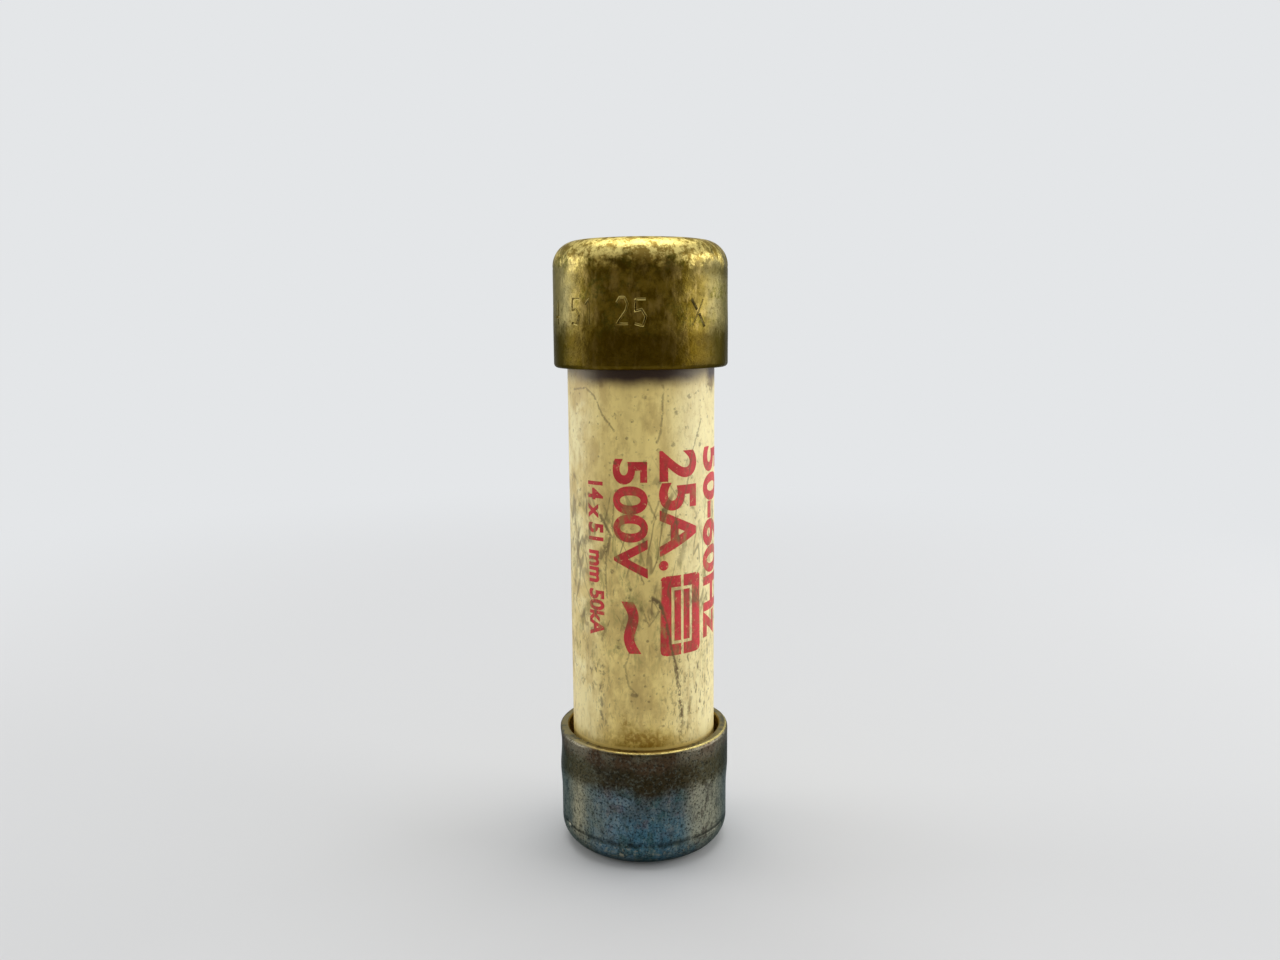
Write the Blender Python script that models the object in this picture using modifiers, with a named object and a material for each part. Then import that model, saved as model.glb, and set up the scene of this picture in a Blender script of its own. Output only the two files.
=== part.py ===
"""A 14 x 51 mm high-speed cartridge fuse, standing on its lower end.

Run it with blender --background --python part.py, or from Blender's text editor.
Metres, +Z up, with the origin at the centre of the lower end face.

The fuse is a double-capped one. A ceramic tube holds three notched silver elements in set quartz
sand. An inner cap is pressed over each end of the tube, onto a slotted disc that keeps the sand
in. The elements come through the disc and the inner cap, and their tabs are folded flat over its
end. The sand is poured in through a hole in the upper inner cap, which a plug then closes. The
outer caps, the contacts that a fuse clip grips, are pressed over the inner ones and clamp the
tabs.
"""

import bpy
import bmesh
from math import cos, pi, radians, sin, sqrt
from mathutils import Matrix

MM = 0.001

# Whole fuse
FUSE_LENGTH = 51.0 * MM
FIT_GAP = 0.05 * MM  # between pieces that touch or are pressed together

# Outer caps
CAP_DIAMETER = 14.3 * MM
CAP_LENGTH = 10.15 * MM
CAP_WALL = 0.65 * MM
CAP_CORNER_RADIUS = 2.0 * MM
LOWER_CAP_FLARE = 0.13 * MM  # how much thicker the wall is at the mouth
UPPER_CAP_FLARE = 0.03 * MM
FLARE_LENGTH = 3.2 * MM  # the thicker part, up to the mouth
FLARE_TAPER = 2.4 * MM  # where the side comes back to its own diameter
MOUTH_ROUNDING = 0.35 * MM  # the mouth's outer edge
MOUTH_CHAMFER = 0.1 * MM  # the mouth's inner edge
DRAW_GROOVE_WIDTH = 0.3 * MM  # the die's mark where the corner meets the side
DRAW_GROOVE_DEPTH = 0.05 * MM

# Inner caps
INNER_CAP_WALL = 0.32 * MM
INNER_CAP_LENGTH = 7.4 * MM
INNER_CAP_CHAMFER = 0.08 * MM
FILL_HOLE_DIAMETER = 2.4 * MM

# Ceramic tube and the discs at its ends
TUBE_WALL = 1.8 * MM
TUBE_EDGE_CHAMFER = 0.25 * MM
DISC_THICKNESS = 0.8 * MM

# Fuse elements
ELEMENT_COUNT = 3
ELEMENT_WIDTH = 3.0 * MM
ELEMENT_THICKNESS = 0.15 * MM
BEND_RADIUS = 0.25 * MM  # at the middle of the strip's thickness
TAB_SETBACK = 1.0 * MM  # from the tab's tip to the edge of the inner cap's flat end
NOTCH_ROWS = 6
NOTCH_SPACES = 3  # across the strip, so a row is two holes and two half holes at the edges
NOTCH_DIAMETER = 0.8 * MM
CRIMP_LENGTH = 1.8 * MM
CRIMP_HEIGHT = 0.45 * MM
WELD_DIMPLE_DIAMETER = 0.7 * MM
WELD_DIMPLE_DEPTH = 0.06 * MM

# Fineness of the meshes
TURN_STEPS = 48
PIN_STEPS = 24
CORNER_STEPS = 5
MOUTH_STEPS = 3
BEND_STEPS = 4
CRIMP_STEPS = 6
NOTCH_STEPS = 12
MERGE_DISTANCE = 0.001 * MM

# Outer caps, inside
cap_radius = CAP_DIAMETER / 2
cap_bore_radius = cap_radius - CAP_WALL

# Inner caps: nested in the outer ones, with room for the tabs between the two ends
inner_cap_radius = cap_bore_radius - FIT_GAP
inner_cap_bore_radius = inner_cap_radius - INNER_CAP_WALL
inner_cap_corner = CAP_CORNER_RADIUS - CAP_WALL - FIT_GAP
inner_cap_flat_radius = inner_cap_radius - inner_cap_corner
tab_space = ELEMENT_THICKNESS + 2 * FIT_GAP
inner_cap_face = CAP_WALL + tab_space

# Tube: its ends stand on the discs, its edges clear the corners of the inner caps
tube_radius = inner_cap_bore_radius - FIT_GAP
bore_radius = tube_radius - TUBE_WALL
disc_face = inner_cap_face + INNER_CAP_WALL + FIT_GAP
tube_foot = disc_face + DISC_THICKNESS + FIT_GAP
tube_length = FUSE_LENGTH - 2 * tube_foot
corner_reach = inner_cap_face + inner_cap_corner - tube_foot
tube_chamfer = TUBE_EDGE_CHAMFER + max(corner_reach, 0)
disc_radius = min(inner_cap_flat_radius, tube_radius)

# Elements: halfway between the axis and the wall of the bore
element_offset = bore_radius / 2
tab_level = CAP_WALL + FIT_GAP + ELEMENT_THICKNESS / 2
tab_tip_radius = inner_cap_flat_radius - TAB_SETBACK
row_pitch = tube_length / NOTCH_ROWS
slot_inner = element_offset - ELEMENT_THICKNESS / 2 - FIT_GAP
slot_width = ELEMENT_WIDTH + 2 * FIT_GAP
fill_hole_radius = FILL_HOLE_DIAMETER / 2


def clear_scene():
    for obj in list(bpy.data.objects):
        bpy.data.objects.remove(obj)


def new_collection(name):
    collection = bpy.data.collections.new(name)
    bpy.context.scene.collection.children.link(collection)
    return collection


def new_material(name, colour, roughness, metallic=0.0):
    material = bpy.data.materials.new(name)
    material.use_nodes = True
    shader = material.node_tree.nodes["Principled BSDF"]
    shader.inputs["Base Color"].default_value = (*colour, 1.0)
    shader.inputs["Roughness"].default_value = roughness
    shader.inputs["Metallic"].default_value = metallic
    return material


def new_object(name, bm):
    """An object that holds the bmesh, which is freed."""
    mesh = bpy.data.meshes.new(name)
    bm.to_mesh(mesh)
    bm.free()
    return bpy.data.objects.new(name, mesh)


def evaluated_mesh(obj):
    """The object's mesh with its modifiers in it."""
    bpy.context.view_layer.update()
    graph = bpy.context.evaluated_depsgraph_get()
    return bpy.data.meshes.new_from_object(obj.evaluated_get(graph))


def arc(centre, radius, start, end, steps):
    """Points (across, up) along an arc, from one angle to another in degrees, both ends included."""
    points = []
    for step in range(steps + 1):
        angle = radians(start + (end - start) * step / steps)
        points.append((centre[0] + radius * cos(angle), centre[1] + radius * sin(angle)))
    return points


def turned(name, profile, collection, closed=False, steps=TURN_STEPS):
    """A solid turned about Z. Its profile, (radius, height) pairs, runs down the outer side."""
    bm = bmesh.new()
    verts = [bm.verts.new((radius, 0, height)) for radius, height in profile]
    for first, second in zip(verts, verts[1:]):
        bm.edges.new((first, second))
    if closed:
        bm.edges.new((verts[-1], verts[0]))
    obj = new_object(name, bm)
    collection.objects.link(obj)
    screw = obj.modifiers.new("Turn", "SCREW")
    screw.axis = "Z"
    screw.angle = 2 * pi
    screw.steps = steps
    screw.render_steps = steps
    screw.use_merge_vertices = True
    screw.merge_threshold = MERGE_DISTANCE
    obj.data = evaluated_mesh(obj)
    obj.data.name = name
    obj.modifiers.clear()
    obj.data.shade_smooth()
    obj.data.set_sharp_from_angle(angle=radians(25))
    return obj


def cut(obj, cutter):
    """Cuts the cutter's shape out of the object with a live modifier."""
    boolean = obj.modifiers.new("Cut " + cutter.name, "BOOLEAN")
    boolean.operation = "DIFFERENCE"
    boolean.object = cutter


def as_cutter(obj, collection):
    collection.objects.link(obj)
    obj.display_type = "WIRE"
    obj.hide_render = True
    return obj


def spaced_angles():
    """The elements' angles about the axis."""
    return [2 * pi * index / ELEMENT_COUNT for index in range(ELEMENT_COUNT)]


def add_cylinder(bm, radius, depth, matrix, segments):
    bmesh.ops.create_cone(
        bm,
        cap_ends=True,
        segments=segments,
        radius1=radius,
        radius2=radius,
        depth=depth,
        matrix=matrix,
    )


# Outer caps


def flare_profile(flare):
    """The cap's side where it spreads to the mouth's diameter, eased at both ends."""
    taper_top = CAP_LENGTH - FLARE_LENGTH - FLARE_TAPER
    points = []
    for share in (0, 0.25, 0.75, 1):
        eased = share * share * (3 - 2 * share)
        points.append((cap_radius + flare * eased, -(taper_top + FLARE_TAPER * share)))
    return points


def make_outer_cap(name, flare, end, collection, material):
    """A drawn cup with its end face at the end's origin, a straight bore and a thicker mouth."""
    flat_radius = cap_radius - CAP_CORNER_RADIUS
    corner_centre = (flat_radius, -CAP_CORNER_RADIUS)
    inside_corner = max(CAP_CORNER_RADIUS - CAP_WALL, FIT_GAP)
    inside_centre = (cap_bore_radius - inside_corner, -CAP_WALL - inside_corner)
    profile = [(0, 0)]
    profile += arc(corner_centre, CAP_CORNER_RADIUS, 90, 0, CORNER_STEPS)
    groove_middle = -CAP_CORNER_RADIUS - DRAW_GROOVE_WIDTH / 2
    profile.append((cap_radius - DRAW_GROOVE_DEPTH, groove_middle))
    profile.append((cap_radius, -CAP_CORNER_RADIUS - DRAW_GROOVE_WIDTH))
    profile += flare_profile(flare)
    mouth_centre = (cap_radius + flare - MOUTH_ROUNDING, MOUTH_ROUNDING - CAP_LENGTH)
    profile += arc(mouth_centre, MOUTH_ROUNDING, 0, -90, MOUTH_STEPS)
    profile.append((cap_bore_radius + MOUTH_CHAMFER, -CAP_LENGTH))
    profile.append((cap_bore_radius, MOUTH_CHAMFER - CAP_LENGTH))
    profile += arc(inside_centre, inside_corner, 0, 90, CORNER_STEPS - 2)
    profile.append((0, -CAP_WALL))
    cap = turned(name, profile, collection)
    cap.parent = end
    cap.data.materials.append(material)
    return cap


# Inner caps


def make_inner_cap(name, end, cutters, collection, material):
    """A thinner cup whose end lets the elements through. It stands inside the outer cap."""
    inside_corner = max(inner_cap_corner - INNER_CAP_WALL, FIT_GAP)
    outside_centre = (inner_cap_flat_radius, -inner_cap_face - inner_cap_corner)
    inside_centre = (
        inner_cap_bore_radius - inside_corner,
        -inner_cap_face - INNER_CAP_WALL - inside_corner,
    )
    mouth = -inner_cap_face - INNER_CAP_LENGTH
    profile = [(0, -inner_cap_face)]
    profile += arc(outside_centre, inner_cap_corner, 90, 0, CORNER_STEPS - 1)
    profile.append((inner_cap_radius, mouth + INNER_CAP_CHAMFER))
    profile.append((inner_cap_radius - INNER_CAP_CHAMFER, mouth))
    profile.append((inner_cap_bore_radius, mouth))
    profile += arc(inside_centre, inside_corner, 0, 90, CORNER_STEPS - 2)
    profile.append((0, -inner_cap_face - INNER_CAP_WALL))
    cap = turned(name, profile, collection)
    cap.parent = end
    cap.data.materials.append(material)
    for cutter in cutters:
        cut(cap, cutter)
    return cap


def make_slot_cutter(name, outer, collection):
    """Boxes as long as the fuse, one for each element, from the slots' inner side out to outer."""
    bm = bmesh.new()
    for angle in spaced_angles():
        size = Matrix.Diagonal((outer - slot_inner, slot_width, FUSE_LENGTH, 1))
        place = Matrix.Translation(((outer + slot_inner) / 2, 0, FUSE_LENGTH / 2))
        turn = Matrix.Rotation(angle, 4, "Z")
        bmesh.ops.create_cube(bm, size=1, matrix=turn @ place @ size)
    return as_cutter(new_object(name, bm), collection)


def make_fill_hole_cutter(end, collection):
    """A pin along the axis, through the upper inner cap and the disc under it."""
    bm = bmesh.new()
    length = 2 * tube_foot
    add_cylinder(bm, fill_hole_radius, length, Matrix.Translation((0, 0, -tube_foot)), PIN_STEPS)
    cutter = as_cutter(new_object("fill_hole_cutter", bm), collection)
    cutter.parent = end
    return cutter


def make_fill_plug(end, collection, material):
    """A headed plug. Its head shares the space of the tabs, its stem ends level with the disc."""
    stem_radius = fill_hole_radius - FIT_GAP
    head_radius = (fill_hole_radius + slot_inner) / 2
    head_top = -CAP_WALL - FIT_GAP
    head_base = head_top - ELEMENT_THICKNESS
    edge = ELEMENT_THICKNESS / 3
    profile = [
        (0, head_top),
        (head_radius - edge, head_top),
        (head_radius, head_top - edge),
        (head_radius, head_base),
        (stem_radius, head_base),
        (stem_radius, -disc_face - DISC_THICKNESS + edge),
        (stem_radius - edge, -disc_face - DISC_THICKNESS),
        (0, -disc_face - DISC_THICKNESS),
    ]
    plug = turned("fill_hole_plug", profile, collection, steps=PIN_STEPS)
    plug.parent = end
    plug.data.materials.append(material)
    return plug


# Tube, discs and sand


def make_tube(collection, material):
    edge = TUBE_EDGE_CHAMFER
    top = FUSE_LENGTH - tube_foot
    profile = [
        (bore_radius + edge, top),
        (tube_radius - tube_chamfer, top),
        (tube_radius, top - tube_chamfer),
        (tube_radius, tube_foot + tube_chamfer),
        (tube_radius - tube_chamfer, tube_foot),
        (bore_radius + edge, tube_foot),
        (bore_radius, tube_foot + edge),
        (bore_radius, top - edge),
    ]
    tube = turned("ceramic_tube", profile, collection, closed=True)
    tube.data.materials.append(material)
    return tube


def make_disc(name, end, cutters, collection, material):
    profile = [
        (0, -disc_face),
        (disc_radius, -disc_face),
        (disc_radius, -disc_face - DISC_THICKNESS),
        (0, -disc_face - DISC_THICKNESS),
    ]
    disc = turned(name, profile, collection)
    disc.parent = end
    disc.data.materials.append(material)
    for cutter in cutters:
        cut(disc, cutter)
    return disc


def make_sand(cutters, collection, material):
    """The sand that fills the bore and has set round the elements."""
    radius = bore_radius - FIT_GAP
    profile = [
        (0, FUSE_LENGTH - tube_foot),
        (radius, FUSE_LENGTH - tube_foot),
        (radius, tube_foot),
        (0, tube_foot),
    ]
    sand = turned("quartz_sand_filler", profile, collection)
    sand.data.materials.append(material)
    for cutter in cutters:
        cut(sand, cutter)
    return sand


# Fuse elements


def crimped_rise(start, end):
    """The upright part of an element, as (across, up) points, with a crimp between each two rows."""
    points = [(element_offset, start)]
    for gap in range(1, NOTCH_ROWS):
        middle = tube_foot + gap * row_pitch
        for step in range(CRIMP_STEPS + 1):
            share = step / CRIMP_STEPS
            lift = CRIMP_HEIGHT * (1 - cos(2 * pi * share)) / 2
            points.append((element_offset + lift, middle + CRIMP_LENGTH * (share - 0.5)))
    points.append((element_offset, end))
    return points


def element_path():
    """The middle line of an element, from the tip of its lower tab to the tip of the upper one."""
    bend_centre = (element_offset + BEND_RADIUS, tab_level + BEND_RADIUS)
    foot = [(tab_tip_radius, tab_level)]
    foot += arc(bend_centre, BEND_RADIUS, 270, 180, BEND_STEPS)
    head = [(across, FUSE_LENGTH - up) for across, up in reversed(foot)]
    rise = crimped_rise(foot[-1][1], head[0][1])
    return foot + rise[1:-1] + head


def ribbon(name, path, width, thickness, collection):
    """A strip bent along a path in the XZ plane: an open surface with Solidify."""
    bm = bmesh.new()
    verts = [bm.verts.new((across, -width / 2, up)) for across, up in path]
    edges = [bm.edges.new(pair) for pair in zip(verts, verts[1:])]
    made = bmesh.ops.extrude_edge_only(bm, edges=edges)
    moved = [item for item in made["geom"] if isinstance(item, bmesh.types.BMVert)]
    bmesh.ops.translate(bm, verts=moved, vec=(0, width, 0))
    bmesh.ops.recalc_face_normals(bm, faces=bm.faces)
    obj = new_object(name, bm)
    collection.objects.link(obj)
    solidify = obj.modifiers.new("Thickness", "SOLIDIFY")
    solidify.thickness = thickness
    solidify.offset = 0
    solidify.use_even_offset = True
    return obj


def make_notch_cutter(collection):
    """Short pins through the strip: rows of holes, the outermost centred on its edges."""
    bm = bmesh.new()
    along_x = Matrix.Rotation(pi / 2, 4, "Y")
    for row in range(NOTCH_ROWS):
        up = tube_foot + (row + 0.5) * row_pitch
        for place in range(NOTCH_SPACES + 1):
            across = ELEMENT_WIDTH * (place / NOTCH_SPACES - 0.5)
            matrix = Matrix.Translation((element_offset, across, up)) @ along_x
            add_cylinder(bm, NOTCH_DIAMETER / 2, 6 * ELEMENT_THICKNESS, matrix, NOTCH_STEPS)
    return as_cutter(new_object("notch_cutter", bm), collection)


def make_weld_cutter(collection):
    """The round dents of the spot welds, two in the outer face of each tab."""
    bm = bmesh.new()
    flat_start = element_offset + BEND_RADIUS
    out = (flat_start + tab_tip_radius) / 2
    surface = CAP_WALL + FIT_GAP
    for level in (surface, FUSE_LENGTH - surface):
        for side in (-1, 1):
            matrix = Matrix.Translation((out, side * ELEMENT_WIDTH / 4, level))
            add_cylinder(bm, WELD_DIMPLE_DIAMETER / 2, 2 * WELD_DIMPLE_DEPTH, matrix, NOTCH_STEPS)
    return as_cutter(new_object("weld_cutter", bm), collection)


def make_elements(collection, cutters_collection, material):
    """The silver strips, alike and spaced evenly about the axis."""
    first = ribbon("fuse_element_1", element_path(), ELEMENT_WIDTH, ELEMENT_THICKNESS, collection)
    cut(first, make_notch_cutter(cutters_collection))
    cut(first, make_weld_cutter(cutters_collection))
    first.data = evaluated_mesh(first)
    first.data.name = "fuse_element"
    first.modifiers.clear()
    first.data.materials.append(material)
    elements = [first]
    for number, angle in enumerate(spaced_angles()[1:], start=2):
        copy = bpy.data.objects.new(f"fuse_element_{number}", first.data)
        copy.rotation_euler.z = angle
        collection.objects.link(copy)
        elements.append(copy)
    return elements


def make_channel_cutters(collection):
    """The room that each element takes in the sand, a little wider and thicker than the strip."""
    path = crimped_rise(disc_face, FUSE_LENGTH - disc_face)
    cutters = []
    for number, angle in enumerate(spaced_angles(), start=1):
        thickness = ELEMENT_THICKNESS + 2 * FIT_GAP
        channel = ribbon(f"channel_cutter_{number}", path, slot_width, thickness, collection)
        channel.rotation_euler.z = angle
        channel.display_type = "WIRE"
        channel.hide_render = True
        cutters.append(channel)
    return cutters


def new_end(name, height, turn, collection):
    """An empty at the centre of an end face. Its own +Z points out of the fuse."""
    end = bpy.data.objects.new(name, None)
    end.empty_display_size = CAP_DIAMETER
    end.location.z = height
    end.rotation_euler.x = turn
    collection.objects.link(end)
    return end


def main():
    clear_scene()
    parts = new_collection("cartridge_fuse")
    cutters = new_collection("cutters")

    plated_brass = new_material("plated_brass", (0.36, 0.30, 0.14), 0.38, 1.0)
    tarnished_plating = new_material("tarnished_plating", (0.28, 0.28, 0.25), 0.42, 1.0)
    bare_brass = new_material("bare_brass", (0.62, 0.46, 0.18), 0.35, 1.0)
    cream_ceramic = new_material("cream_ceramic", (0.80, 0.72, 0.52), 0.55)
    silver = new_material("silver", (0.90, 0.89, 0.86), 0.25, 1.0)
    quartz = new_material("quartz_sand", (0.66, 0.62, 0.55), 0.95)
    fibre = new_material("fibre_board", (0.55, 0.50, 0.42), 0.85)
    plug_rubber = new_material("plug_silicone", (0.55, 0.12, 0.08), 0.6)

    lower_end = new_end("lower_end", 0, pi, parts)
    upper_end = new_end("upper_end", FUSE_LENGTH, 0, parts)

    cap_slots = make_slot_cutter("cap_slot_cutter", element_offset + BEND_RADIUS, cutters)
    strip_face = element_offset + ELEMENT_THICKNESS / 2 + FIT_GAP
    disc_slots = make_slot_cutter("disc_slot_cutter", strip_face, cutters)
    fill_hole = make_fill_hole_cutter(upper_end, cutters)

    make_tube(parts, cream_ceramic)
    make_sand(make_channel_cutters(cutters), parts, quartz)
    make_elements(parts, cutters, silver)
    make_disc("lower_end_disc", lower_end, [disc_slots], parts, fibre)
    make_disc("upper_end_disc", upper_end, [disc_slots, fill_hole], parts, fibre)
    make_inner_cap("lower_inner_cap", lower_end, [cap_slots], parts, bare_brass)
    make_inner_cap("upper_inner_cap", upper_end, [cap_slots, fill_hole], parts, bare_brass)
    make_fill_plug(upper_end, parts, plug_rubber)
    make_outer_cap("lower_outer_cap", LOWER_CAP_FLARE, lower_end, parts, tarnished_plating)
    make_outer_cap("upper_outer_cap", UPPER_CAP_FLARE, upper_end, parts, plated_brass)


main()
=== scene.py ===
import math

import bpy
from mathutils import Matrix, Vector


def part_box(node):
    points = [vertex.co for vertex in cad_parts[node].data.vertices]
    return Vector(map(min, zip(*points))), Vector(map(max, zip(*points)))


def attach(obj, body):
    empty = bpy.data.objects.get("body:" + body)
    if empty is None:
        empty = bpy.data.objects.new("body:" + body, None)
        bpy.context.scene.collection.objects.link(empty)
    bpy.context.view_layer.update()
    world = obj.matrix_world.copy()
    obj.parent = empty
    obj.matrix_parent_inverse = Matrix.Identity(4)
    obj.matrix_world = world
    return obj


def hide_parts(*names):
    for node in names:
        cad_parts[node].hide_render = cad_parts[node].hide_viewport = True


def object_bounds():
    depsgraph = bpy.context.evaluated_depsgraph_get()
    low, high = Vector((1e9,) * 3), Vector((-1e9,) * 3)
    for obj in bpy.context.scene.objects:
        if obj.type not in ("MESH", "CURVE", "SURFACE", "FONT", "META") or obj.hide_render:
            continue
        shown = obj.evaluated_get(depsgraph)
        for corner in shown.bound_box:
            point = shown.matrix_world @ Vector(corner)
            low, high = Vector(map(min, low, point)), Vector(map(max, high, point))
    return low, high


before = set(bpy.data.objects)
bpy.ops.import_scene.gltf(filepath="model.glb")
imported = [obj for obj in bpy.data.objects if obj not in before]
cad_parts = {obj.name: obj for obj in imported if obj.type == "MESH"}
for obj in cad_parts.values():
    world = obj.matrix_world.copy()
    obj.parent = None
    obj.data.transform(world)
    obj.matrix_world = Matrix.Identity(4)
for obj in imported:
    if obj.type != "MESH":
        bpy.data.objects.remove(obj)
cadLow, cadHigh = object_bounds()
print("frame loaded:", ", ".join(sorted(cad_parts)))

mm = 0.001  # the fuse's own sizes below are in millimetres
hair = 0.001 * mm  # points closer than this are one point
bpy.context.scene.view_settings.view_transform = "Standard"


def linear(red, green, blue):
    # a colour as a painter reads it, 0 to 255, in the light units that a shader takes
    channels = []
    for value in (red, green, blue):
        share = value / 255
        if share <= 0.04045:
            channels.append(share / 12.92)
        else:
            channels.append(((share + 0.055) / 1.055) ** 2.4)
    return (*channels, 1.0)


def paints(**colours):
    return {name: linear(*colour) for name, colour in colours.items()}


def leaveEdit():
    bpy.ops.object.mode_set(mode="OBJECT")


def startPiece():
    if bpy.context.mode != "OBJECT":
        leaveEdit()
    bpy.ops.object.select_all(action="DESELECT")
    bpy.context.tool_settings.mesh_select_mode = (True, False, False)


def pick(obj):
    # makes one object the active and the only selected one
    startPiece()
    obj.select_set(True)
    bpy.context.view_layer.objects.active = obj


def editAll():
    # edit mode with everything selected
    bpy.ops.object.mode_set(mode="EDIT")
    bpy.ops.mesh.select_all(action="SELECT")


def applyModifier(obj, kind, **settings):
    bpy.context.view_layer.objects.active = obj
    modifier = obj.modifiers.new(kind.lower(), kind)
    for name, value in settings.items():
        setattr(modifier, name, value)
    bpy.ops.object.modifier_apply(modifier=modifier.name)


def selectOnly(obj, kind, test):
    # in edit mode, leaves only the vertices or faces whose place passes the test selected
    bpy.ops.mesh.select_mode(type=kind)
    bpy.ops.mesh.select_all(action="DESELECT")
    leaveEdit()
    if kind == "VERT":
        for vertex in obj.data.vertices:
            vertex.select = test(vertex.co)
    else:
        for face in obj.data.polygons:
            face.select = test(face.center)
    bpy.ops.object.mode_set(mode="EDIT")


def arcPoints(centreRadius, centreHeight, radius, start, end, steps):
    # (radius, height) pairs along an arc of a turned profile, angles in degrees
    points = []
    for step in range(steps + 1):
        angle = math.radians(start + (end - start) * step / steps)
        across = centreRadius + radius * math.cos(angle)
        points.append((across, centreHeight + radius * math.sin(angle)))
    return points


def drawLine(name, points):
    # a line of (x, z) points in millimetres, drawn by extruding one vertex; stays in edit mode
    startPiece()
    bpy.ops.mesh.primitive_plane_add(size=mm, location=(0, 0, 0))
    obj = bpy.context.active_object
    obj.name = obj.data.name = name
    editAll()
    bpy.ops.mesh.merge(type="CENTER")
    bpy.ops.transform.translate(value=(points[0][0] * mm, 0, points[0][1] * mm))
    for before, after in zip(points, points[1:]):
        move = ((after[0] - before[0]) * mm, 0, (after[1] - before[1]) * mm)
        bpy.ops.mesh.extrude_region_move(TRANSFORM_OT_translate={"value": move})
    bpy.ops.mesh.select_all(action="SELECT")
    return obj


def spinProfile(name, points, steps):
    # turns a profile of (radius, height) points into a solid of revolution
    obj = drawLine(name, points)
    bpy.ops.mesh.spin(steps=steps, angle=2 * math.pi, center=(0, 0, 0), axis=(0, 0, 1))
    bpy.ops.mesh.select_all(action="SELECT")
    bpy.ops.mesh.remove_doubles(threshold=hair)
    bpy.ops.mesh.normals_make_consistent(inside=False)
    leaveEdit()
    return obj


def smoothShading(obj, angle):
    pick(obj)
    bpy.ops.object.shade_smooth_by_angle(angle=math.radians(angle))


def roughen(obj, grain, depth):
    # a soft unevenness of the surface: grain is the size of its swells, depth how far they go
    clouds = bpy.data.textures.new(obj.name + "_swell", "CLOUDS")
    clouds.noise_scale = grain * mm
    clouds.noise_depth = 1
    applyModifier(obj, "DISPLACE", texture=clouds, texture_coords="LOCAL",
                  strength=depth * mm, mid_level=0.5)


def dentIn(obj, angle, height, size, depth):
    # pushes a soft dent of that size into a turned piece, angle in degrees from the front
    outwards = Vector((math.sin(math.radians(angle)), -math.cos(math.radians(angle)), 0))
    reach = max(vertex.co.dot(outwards) for vertex in obj.data.vertices)
    aim = outwards * reach + Vector((0, 0, height * mm))
    nearest = min(obj.data.vertices, key=lambda vertex: (vertex.co - aim).length).co.copy()
    pick(obj)
    bpy.ops.object.mode_set(mode="EDIT")
    selectOnly(obj, "VERT", lambda co: (co - nearest).length < hair)
    bpy.ops.transform.translate(value=-depth * mm * outwards, use_proportional_edit=True,
                                proportional_edit_falloff="SMOOTH", proportional_size=size * mm)
    leaveEdit()


def keepPiece(obj, slot, *nodes):
    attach(obj, "root")
    if nodes:
        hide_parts(*nodes)


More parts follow.
